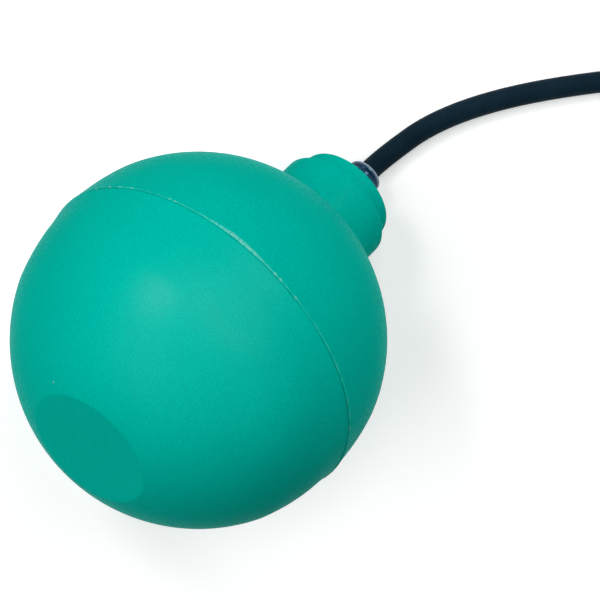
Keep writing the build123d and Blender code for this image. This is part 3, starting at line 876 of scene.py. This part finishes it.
def buildMouldGrain():
    # fine grain that a matte mould leaves, and the grain's tips, where a painted sheen goes
    group, given, out = startGroup(
        "mouldGrain",
        [("Scale", "Float", 3000.0)],
        [("Height", "Float"), ("Speckle", "Float"), ("SheenTips", "Float")],
    )
    place = placeOf(group)
    fine = noiseOf(group, place, given["Scale"], 2.0, 0.55)
    coarse = noiseOf(group, place, mathOf(group, "MULTIPLY", given["Scale"], 0.28), 1.0, 0.5)
    sheenTips = noiseOf(group, place, mathOf(group, "MULTIPLY", given["Scale"], 0.62), 2.0, 0.7)
    summed = {0: coarse, 1: 0.45, 2: fine}
    height = addNode(group, "ShaderNodeMath", summed, operation="MULTIPLY_ADD").outputs[0]
    group.links.new(height, out["Height"])
    group.links.new(rangeOf(group, fine, 0.36, 0.64), out["Speckle"])
    group.links.new(rangeOf(group, sheenTips, 0.54, 0.66), out["SheenTips"])


def buildTintDrift():
    # slow change of colour over a moulded or painted surface
    group, given, out = startGroup(
        "tintDrift",
        [("First", "Color", (1, 1, 1, 1)), ("Second", "Color", (0.9, 0.9, 0.9, 1)), ("Scale", "Float", 40.0)],
        [("Colour", "Color")],
    )
    share = rangeOf(group, noiseOf(group, placeOf(group), given["Scale"], 3.0, 0.6), 0.38, 0.62)
    group.links.new(blendColours(group, share, given["First"], given["Second"]), out["Colour"])


def buildRoughPatches():
    # duller and shinier patches
    group, given, out = startGroup(
        "roughPatches",
        [("Low", "Float", 0.4), ("High", "Float", 0.6), ("Scale", "Float", 90.0)],
        [("Roughness", "Float")],
    )
    cloud = noiseOf(group, placeOf(group), given["Scale"], 4.0, 0.65)
    group.links.new(rangeOf(group, cloud, 0.35, 0.65, given["Low"], given["High"]), out["Roughness"])


def buildTurnedRings():
    # fine rings round an axis, as a lathe leaves them
    group, given, out = startGroup(
        "turnedRings",
        [("Middle", "Vector", (0, 0, 0)), ("Axis", "Vector", (1, 0, 0)), ("Scale", "Float", 3000.0)],
        [("Height", "Float"), ("Mask", "Float")],
    )
    away = vectorOf(group, "SUBTRACT", {0: placeOf(group), 1: given["Middle"]})
    along = vectorOf(group, "DOT_PRODUCT", {0: away, 1: given["Axis"]}, "Value")
    onAxis = vectorOf(group, "SCALE", {0: given["Axis"], "Scale": along})
    offAxis = vectorOf(group, "SUBTRACT", {0: away, 1: onAxis})
    radius = vectorOf(group, "LENGTH", {0: offAxis}, "Value")
    ring = mathOf(group, "ADD", radius, along)
    settings = {"W": ring, "Scale": given["Scale"], "Detail": 3.0, "Roughness": 0.7}
    lines = addNode(group, "ShaderNodeTexNoise", settings, noise_dimensions="1D").outputs[0]
    group.links.new(lines, out["Height"])
    group.links.new(rangeOf(group, lines, 0.4, 0.6), out["Mask"])


def buildDrawnStreaks():
    # long streaks along the way a sheet, wire or jacket was drawn
    group, given, out = startGroup(
        "drawnStreaks",
        [("Along", "Vector", (1, 0, 0)), ("Scale", "Float", 2500.0), ("Stretch", "Float", 0.96)],
        [("Height", "Float"), ("Mask", "Float")],
    )
    place = placeOf(group)
    share = vectorOf(group, "DOT_PRODUCT", {0: place, 1: given["Along"]}, "Value")
    kept = mathOf(group, "MULTIPLY", share, given["Stretch"])
    taken = vectorOf(group, "SCALE", {0: given["Along"], "Scale": kept})
    squeezed = vectorOf(group, "SUBTRACT", {0: place, 1: taken})
    lines = noiseOf(group, squeezed, given["Scale"], 3.0, 0.6)
    group.links.new(lines, out["Height"])
    group.links.new(rangeOf(group, lines, 0.4, 0.6), out["Mask"])


def buildSparseMarks():
    # a few small marks: nicks, dust or fibres, with Amount as their share
    group, given, out = startGroup(
        "sparseMarks",
        [("Scale", "Float", 400.0), ("Amount", "Float", 0.1), ("Size", "Float", 0.12)],
        [("Mask", "Float")],
    )
    settings = {"Vector": placeOf(group), "Scale": given["Scale"]}
    cells = addNode(group, "ShaderNodeTexVoronoi", settings).outputs
    chosen = addNode(group, "ShaderNodeSeparateColor", {0: cells["Color"]}).outputs
    few = mathOf(group, "LESS_THAN", chosen[0], given["Amount"])
    size = mathOf(group, "MULTIPLY", chosen[1], given["Size"])
    near = mathOf(group, "LESS_THAN", cells["Distance"], size)
    group.links.new(mathOf(group, "MULTIPLY", few, near), out["Mask"])


for buildEffect in (
    buildMouldGrain,
    buildTintDrift,
    buildRoughPatches,
    buildTurnedRings,
    buildDrawnStreaks,
    buildSparseMarks,
):
    buildEffect()
print("shader groups built")


def startMaterial(name, fixed):
    material = bpy.data.materials.new(name)
    material.use_nodes = True
    tree = material.node_tree
    shader = tree.nodes["Principled BSDF"]
    for label, value in fixed.items():
        shader.inputs[label].default_value = value
    return material, tree, shader


def addEffect(tree, name, inputs):
    return addNode(tree, "ShaderNodeGroup", inputs, node_tree=bpy.data.node_groups[name]).outputs


def tintOf(tree, look):
    tint = {"First": look["colour"], "Second": look["shade"], "Scale": look["driftScale"]}
    return addEffect(tree, "tintDrift", tint)["Colour"]


def shareBlend(tree, mask, share, first, second):
    return blendColours(tree, mathOf(tree, "MULTIPLY", mask, share), first, second)


def addBump(tree, shader, height, depth):
    bump = addNode(tree, "ShaderNodeBump", {"Height": height, "Distance": depth, "Strength": 1.0})
    tree.links.new(bump.outputs[0], shader.inputs["Normal"])


def markOf(tree):
    return addNode(tree, "ShaderNodeAttribute", {}, attribute_name="paleFlashAndPaintedLightMark").outputs["Fac"]


def finishPlastic(tree, shader, grain, colour, look):
    rough = {"Low": look["roughLow"], "High": look["roughHigh"], "Scale": look["patchScale"]}
    patches = addEffect(tree, "roughPatches", rough)
    tree.links.new(colour, shader.inputs["Base Color"])
    tree.links.new(patches["Roughness"], shader.inputs["Roughness"])
    addBump(tree, shader, grain["Height"], look["grainDepth"])


def finishMetal(tree, shader, effect, colour, look):
    rough = rangeOf(tree, effect["Mask"], 0.0, 1.0, look["roughLow"], look["roughHigh"])
    tree.links.new(colour, shader.inputs["Base Color"])
    tree.links.new(rough, shader.inputs["Roughness"])
    addBump(tree, shader, effect["Height"], look["depth"])


# green of the float: matte moulded plastic, whitened where the weld was squeezed out, with painted shade in
# the weld's groove and a painted sheen on the grain's tips towards the rim
floatLook = {
    "colour": (0.0, 0.490, 0.390, 1),
    "shade": (0.0, 0.470, 0.372, 1),
    "driftScale": 26.0,
    "speck": (0.0, 0.300, 0.238, 1),
    "speckleShare": 0.40,
    "grainScale": 2300.0,
    "grainDepth": 0.00005,
    "roughLow": 0.31,
    "roughHigh": 0.35,
    "patchScale": 60.0,
    "shineFacing": 0.125,  # the grain swallows the shine that is seen aslant
    "shineAside": 0.0008,
    "nicks": {"Scale": 160.0, "Amount": 0.06, "Size": 0.05},
    "nickShare": 0.6,
    "dust": (0.28, 0.52, 0.45, 1),
    "flashPale": (0.004, 0.53, 0.42, 1),
    "flashWhite": (0.21, 0.60, 0.52, 1),
    "tornScale": 1500.0,
    "paintedGrooveShade": (0.0, 0.110, 0.088, 1),
    "paintedRimSheen": (0.24, 1.0, 0.92, 1),
    "paintedSheenShare": 0.38,  # painted sheen: how much the grain's tips are painted paler where they are seen aslant
    "fixed": {"Specular IOR Level": 0.046},
}


def makeFloatGreen(look):
    material, tree, shader = startMaterial("floatGreen", look["fixed"])
    grain = addEffect(tree, "mouldGrain", {"Scale": look["grainScale"]})
    nicks = addEffect(tree, "sparseMarks", look["nicks"])
    colour = tintOf(tree, look)
    colour = shareBlend(tree, grain["Speckle"], look["speckleShare"], colour, look["speck"])
    colour = shareBlend(tree, nicks["Mask"], look["nickShare"], colour, look["dust"])
    mark = markOf(tree)  # above zero on the pale flash, below zero for the painted shade in the groove
    torn = rangeOf(tree, noiseOf(tree, placeOf(tree), look["tornScale"], 3.0, 0.7), 0.38, 0.58)
    colour = blendColours(tree, rangeOf(tree, mark, 0.0, 0.12), colour, look["flashPale"])
    colour = shareBlend(tree, rangeOf(tree, mark, 0.12, 0.8), torn, colour, look["flashWhite"])
    # painted shade: the groove's floor is painted dark
    colour = blendColours(tree, rangeOf(tree, mark, 0.0, -1.0), colour, look["paintedGrooveShade"])
    aside = addNode(tree, "ShaderNodeLayerWeight", {"Blend": 0.5}).outputs["Facing"]
    # painted sheen: the grain's tips are painted paler towards the rim, where the surface is seen aslant
    rim = rangeOf(tree, aside, 0.66, 0.94, 0.0, look["paintedSheenShare"])
    colour = shareBlend(tree, rim, grain["SheenTips"], colour, look["paintedRimSheen"])
    finishPlastic(tree, shader, grain, colour, look)
    shine = (look["shineFacing"], look["shineAside"])
    level = rangeOf(tree, aside, 0.02, 0.20, *shine, interpolation_type="SMOOTHSTEP")
    tree.links.new(level, shader.inputs["Specular IOR Level"])
    return material


def makePlastic(name, look):
    # moulded plastic or rubber: drift of colour, grain, duller and shinier patches
    material, tree, shader = startMaterial(name, look.get("fixed", {}))
    grain = addEffect(tree, "mouldGrain", {"Scale": look["grainScale"]})
    few = {"Scale": look["markScale"], "Amount": look["markAmount"], "Size": look["markSize"]}
    marks = addEffect(tree, "sparseMarks", few)
    colour = tintOf(tree, look)
    colour = shareBlend(tree, grain["Speckle"], look["speckle"], colour, look["shade"])
    colour = shareBlend(tree, marks["Mask"], look["markShare"], colour, look["mark"])
    # a painted highlight on the points that the piece marks, such as the bushing's lip
    if "rubbed" in look:
        colour = blendColours(tree, markOf(tree), colour, look["rubbed"])
    finishPlastic(tree, shader, grain, colour, look)
    return material


def makeMetal(name, look):
    # drawn or ground metal: streaks along one way, with small marks
    material, tree, shader = startMaterial(name, {"Metallic": 1.0})
    drawn = {"Along": look["along"], "Scale": look["streakScale"], "Stretch": look["stretch"]}
    streaks = addEffect(tree, "drawnStreaks", drawn)
    marks = addEffect(tree, "sparseMarks", look["marks"])
    colour = tintOf(tree, look)
    colour = shareBlend(tree, streaks["Mask"], look["streakShare"], colour, look["shade"])
    colour = shareBlend(tree, marks["Mask"], look["markShare"], colour, look["mark"])
    finishMetal(tree, shader, streaks, colour, look)
    return material


def makeTurnedMetal(name, look):
    # turned metal: rings round the float's axis
    material, tree, shader = startMaterial(name, {"Metallic": 1.0})
    turned = {"Middle": look["middle"], "Axis": look["axis"], "Scale": look["ringScale"]}
    rings = addEffect(tree, "turnedRings", turned)
    colour = tintOf(tree, look)
    colour = shareBlend(tree, rings["Mask"], look["ringShare"], colour, look["shade"])
    finishMetal(tree, shader, rings, colour, look)
    return material


def plasticLook(colour, shade, low, high, **more):
    look = {
        "colour": (*colour, 1),
        "shade": (*shade, 1),
        "mark": (*[min(1.0, value * 1.6 + 0.03) for value in colour], 1),
        "roughLow": low,
        "roughHigh": high,
        "driftScale": 90.0,
        "patchScale": 260.0,
        "grainScale": 5200.0,
        "grainDepth": 0.000008,
        "speckle": 0.3,
        "markScale": 500.0,
        "markAmount": 0.05,
        "markSize": 0.1,
        "markShare": 0.5,
    }
    look.update(more)
    return look


def metalLook(colour, shade, low, high, along=(1, 0, 0), **more):
    look = {
        "colour": (*colour, 1),
        "shade": (*shade, 1),
        "mark": (*[value * 0.55 for value in colour], 1),
        "roughLow": low,
        "roughHigh": high,
        "along": along,
        "streakScale": 5000.0,
        "stretch": 0.95,
        "streakShare": 0.35,
        "driftScale": 120.0,
        "marks": {"Scale": 900.0, "Amount": 0.12, "Size": 0.12},
        "markShare": 0.4,
        "depth": 0.000003,
    }
    look.update(more)
    return look


floatAxis = tuple((floatPose.to_3x3() @ Vector((1, 0, 0))).normalized())
floatMiddle = tuple(floatPose.translation)

jacketLook = plasticLook(
    (0.0072, 0.0215, 0.0345), (0.0046, 0.0140, 0.0235), 0.48, 0.6,
    driftScale=60.0, grainScale=2000.0, grainDepth=0.000030, speckle=0.7, markAmount=0.03,
    fixed={"Specular IOR Level": 0.045, "Specular Tint": (0.5, 0.9, 1.0, 1)},
)
# bushing: dark blue rubber, with a painted highlight along its lip
bushingLook = plasticLook(
    (0.0030, 0.0270, 0.0680), (0.0020, 0.0180, 0.0460), 0.14, 0.22,
    grainScale=1500.0, grainDepth=0.000012, speckle=0.5, markAmount=0.03, rubbed=(0.42, 0.52, 0.64, 1),
    fixed={"Specular IOR Level": 0.5, "Specular Tint": (0.35, 0.7, 1.0, 1)},
)
sealLook = plasticLook((0.016, 0.016, 0.017), (0.010, 0.010, 0.011), 0.45, 0.6)
glandLook = plasticLook((0.030, 0.030, 0.034), (0.020, 0.020, 0.023), 0.4, 0.52)
tieLook = plasticLook((0.014, 0.014, 0.016), (0.009, 0.009, 0.010), 0.34, 0.46, grainDepth=0.00001)
capsuleLook = plasticLook((0.74, 0.73, 0.68), (0.68, 0.67, 0.61), 0.3, 0.42, speckle=0.15)
raceLook = plasticLook((0.68, 0.68, 0.65), (0.61, 0.61, 0.58), 0.28, 0.38, speckle=0.15)
switchLook = plasticLook(
    (0.020, 0.019, 0.018), (0.012, 0.011, 0.011), 0.4, 0.55, markAmount=0.2, markScale=900.0
)
coverLook = plasticLook(
    (0.046, 0.046, 0.048), (0.034, 0.034, 0.036), 0.4, 0.52, markAmount=0.15, markScale=900.0
)
plungerLook = plasticLook((0.45, 0.030, 0.020), (0.37, 0.022, 0.015), 0.25, 0.34)
brownLook = plasticLook((0.140, 0.055, 0.020), (0.110, 0.042, 0.015), 0.26, 0.36)
blueLook = plasticLook((0.020, 0.100, 0.400), (0.015, 0.080, 0.330), 0.26, 0.36)
blackLook = plasticLook((0.014, 0.014, 0.015), (0.009, 0.009, 0.010), 0.26, 0.36)
crimpLook = metalLook((0.60, 0.60, 0.59), (0.50, 0.50, 0.50), 0.28, 0.42, floatAxis)
leverLook = metalLook((0.62, 0.62, 0.60), (0.52, 0.52, 0.51), 0.2, 0.34, floatAxis)
screwLook = metalLook((0.56, 0.56, 0.55), (0.45, 0.45, 0.45), 0.24, 0.36)
terminalLook = metalLook((0.74, 0.69, 0.55), (0.62, 0.57, 0.44), 0.24, 0.36, floatAxis)
ferruleLook = metalLook((0.64, 0.64, 0.62), (0.54, 0.54, 0.53), 0.26, 0.38, stretch=0.6)
ballLook = metalLook(
    (0.62, 0.62, 0.63), (0.57, 0.57, 0.58), 0.06, 0.12, stretch=0.3, streakScale=1800.0, depth=0.0000008
)
washerLook = {
    "colour": (0.70, 0.52, 0.25, 1),
    "shade": (0.56, 0.40, 0.18, 1),
    "roughLow": 0.22,
    "roughHigh": 0.36,
    "middle": floatMiddle,
    "axis": floatAxis,
    "ringScale": 6000.0,
    "ringShare": 0.4,
    "driftScale": 150.0,
    "depth": 0.000004,
}

floatGreen = makeFloatGreen(floatLook)
jacketMaterial = makePlastic("cableJacket", jacketLook)
tieMaterial = makePlastic("tiePlastic", tieLook)
bushingMaterial = makePlastic("bushingRubber", bushingLook)
capsuleMaterial = makePlastic("capsulePlastic", capsuleLook)
raceMaterial = makePlastic("racePlastic", raceLook)
sealMaterial = makePlastic("sealRubber", sealLook)
leverMaterial = makeMetal("leverSteel", leverLook)
terminalMaterial = makeMetal("terminalBrass", terminalLook)
brownMaterial = makePlastic("coreBrown", brownLook)
blueMaterial = makePlastic("coreBlue", blueLook)
blackMaterial = makePlastic("coreBlack", blackLook)
nodeFinishes = {
    "cable_entry": jacketMaterial,
    "neck_seal": sealMaterial,
    "capsule_plug": sealMaterial,
    "clamp_washer": makeTurnedMetal("washerBrass", washerLook),
    "gland_nut": makePlastic("glandPlastic", glandLook),
    "cord_grip": makeMetal("crimpSteel", crimpLook),
    "capsule_tube": capsuleMaterial,
    "capsule_lid": capsuleMaterial,
    "ball_race": raceMaterial,
    "steel_ball": makeMetal("ballSteel", ballLook),
    "switch_case": makePlastic("switchBlack", switchLook),
    "switch_cover": makePlastic("switchCover", coverLook),
    "switch_plunger": makePlastic("plungerRed", plungerLook),
    "switch_lever": leverMaterial,
    "lever_pin": leverMaterial,
    "switch_screws": makeMetal("screwSteel", screwLook),
    "terminal_common": terminalMaterial,
    "terminal_open": terminalMaterial,
    "terminal_closed": terminalMaterial,
    "wire_brown": brownMaterial,
    "wire_blue": blueMaterial,
    "wire_black": blackMaterial,
    "lead_brown": brownMaterial,
    "lead_blue": blueMaterial,
    "lead_black": blackMaterial,
    "core_ferrules": makeMetal("ferruleMetal", ferruleLook),
}


def dress(piece, material):
    piece.data.materials.clear()
    piece.data.materials.append(material)


for nodeName, nodeMaterial in nodeFinishes.items():
    dress(nodes[nodeName], nodeMaterial)
for greenPiece in (frontShell, rearShell, neckCap):
    dress(greenPiece, floatGreen)
dress(cablePiece, jacketMaterial)
dress(bushing, bushingMaterial)
dress(coilTies, tieMaterial)

# pale paper floor: it looks white to the camera and in reflections, and keeps the shadow
floorLook = {
    "colour": (0.80, 0.80, 0.80, 1),
    "shade": (0.78, 0.78, 0.78, 1),
    "driftScale": 3.0,
    "lift": 0.43,  # what the camera and reflections see added, so that the paper looks white
    "fixed": {"Roughness": 0.9, "Specular IOR Level": 0.1},
}


def makeFloorPaper(look):
    material, tree, shader = startMaterial("floorPaper", look["fixed"])
    tree.links.new(tintOf(tree, look), shader.inputs["Base Color"])
    lift = mathOf(tree, "MULTIPLY", seenRays(tree), look["lift"])
    tree.links.new(lift, shader.inputs["Emission Strength"])
    shader.inputs["Emission Color"].default_value = (1, 1, 1, 1)
    return material


dress(studioFloor, makeFloorPaper(floorLook))
print("materials dressed")

bpy.context.scene.view_settings.view_transform = "Standard"
